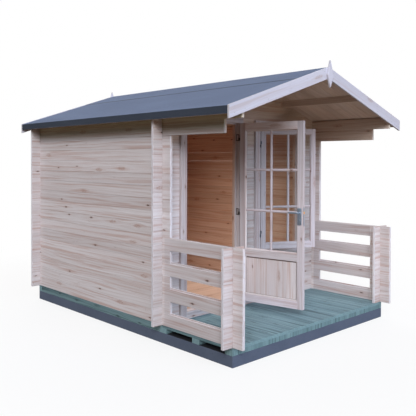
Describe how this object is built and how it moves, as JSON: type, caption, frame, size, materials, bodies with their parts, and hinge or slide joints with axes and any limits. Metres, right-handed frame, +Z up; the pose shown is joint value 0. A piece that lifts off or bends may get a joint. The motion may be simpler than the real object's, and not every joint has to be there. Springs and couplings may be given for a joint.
{
  "type": "log cabin",
  "caption": "Small garden log cabin with a railed front porch, low felted gable roof, glazed outward-opening door and a tall casement window, on bearers and a slab plinth.",
  "frame": {"origin": "centre of the plinth's underside, at ground level", "axes": "+Z up, -Y out of the front of the cabin past the porch, +X to the right seen from the front"},
  "size_m": [2.614, 3.438, 2.562],
  "materials": {
    "log_wood": "planed bare spruce with knots",
    "joinery_wood": "planed bare spruce joinery",
    "trim_wood": "planed bare spruce trim",
    "roof_wood": "tongued spruce boards",
    "floor_wood": "tongued spruce floor boards",
    "treated_wood": "green pressure-treated softwood",
    "plinth_concrete": "smooth dark grey slab",
    "roofing_felt": "slate-grey mineral roofing felt",
    "clear_glass": "clear",
    "hinge_steel": "dark zinc",
    "handle_steel": "satin"
  },
  "bodies": {
    "cabin": {"plinth": "plinth_concrete", "cabin_bearers": "treated_wood", "porch_bearers": "treated_wood", "cabin_floor": "floor_wood", "porch_deck": "treated_wood", "left_wall": "log_wood", "right_wall": "log_wood", "rear_wall": "log_wood", "rear_gable": "log_wood", "front_wall_left": "log_wood", "front_wall_middle": "log_wood", "front_wall_right": "log_wood", "front_wall_under_window": "log_wood", "door_sill_log": "log_wood", "front_gable": "log_wood", "left_eave_logs": "log_wood", "right_eave_logs": "log_wood", "left_railing": "log_wood", "right_railing": "log_wood", "left_porch_post": "log_wood", "right_porch_post": "log_wood", "purlins": "roof_wood", "left_roof_boards": "roof_wood", "right_roof_boards": "roof_wood", "eave_boards": "trim_wood", "left_felt": "roofing_felt", "right_felt": "roofing_felt", "ridge_felt": "roofing_felt", "front_barge_boards": "trim_wood", "rear_barge_boards": "trim_wood", "finials": "trim_wood", "door_frame_left": "joinery_wood", "door_frame_right": "joinery_wood", "door_frame_head": "joinery_wood", "door_threshold": "joinery_wood", "frame_hinges": "hinge_steel", "window_frame": "joinery_wood", "window_sash": "joinery_wood", "window_glass": "clear_glass", "window_hinges": "hinge_steel"},
    "door": {"door_leaf": "joinery_wood", "door_panel": "joinery_wood", "door_glass": "clear_glass", "door_plates": "handle_steel", "door_hinges": "hinge_steel"},
    "door_lever": {"door_levers": "handle_steel"}
  },
  "joints": [
    {"name": "door_hinge", "type": "hinge", "parent": "cabin", "child": "door", "pos_m": [-0.1516, -0.742, 1], "axis": [0, 0, 1], "range_deg": [-101, 39]},
    {"name": "lever_turn", "type": "hinge", "parent": "door", "child": "door_lever", "pos_m": [-0.03568, -1.40649, 1.161], "axis": [-0.9816, -0.1908, 0], "range_deg": [0, 45], "stiffness_Nm_per_rad": 0.8, "springref_deg": -28.65}
  ]
}
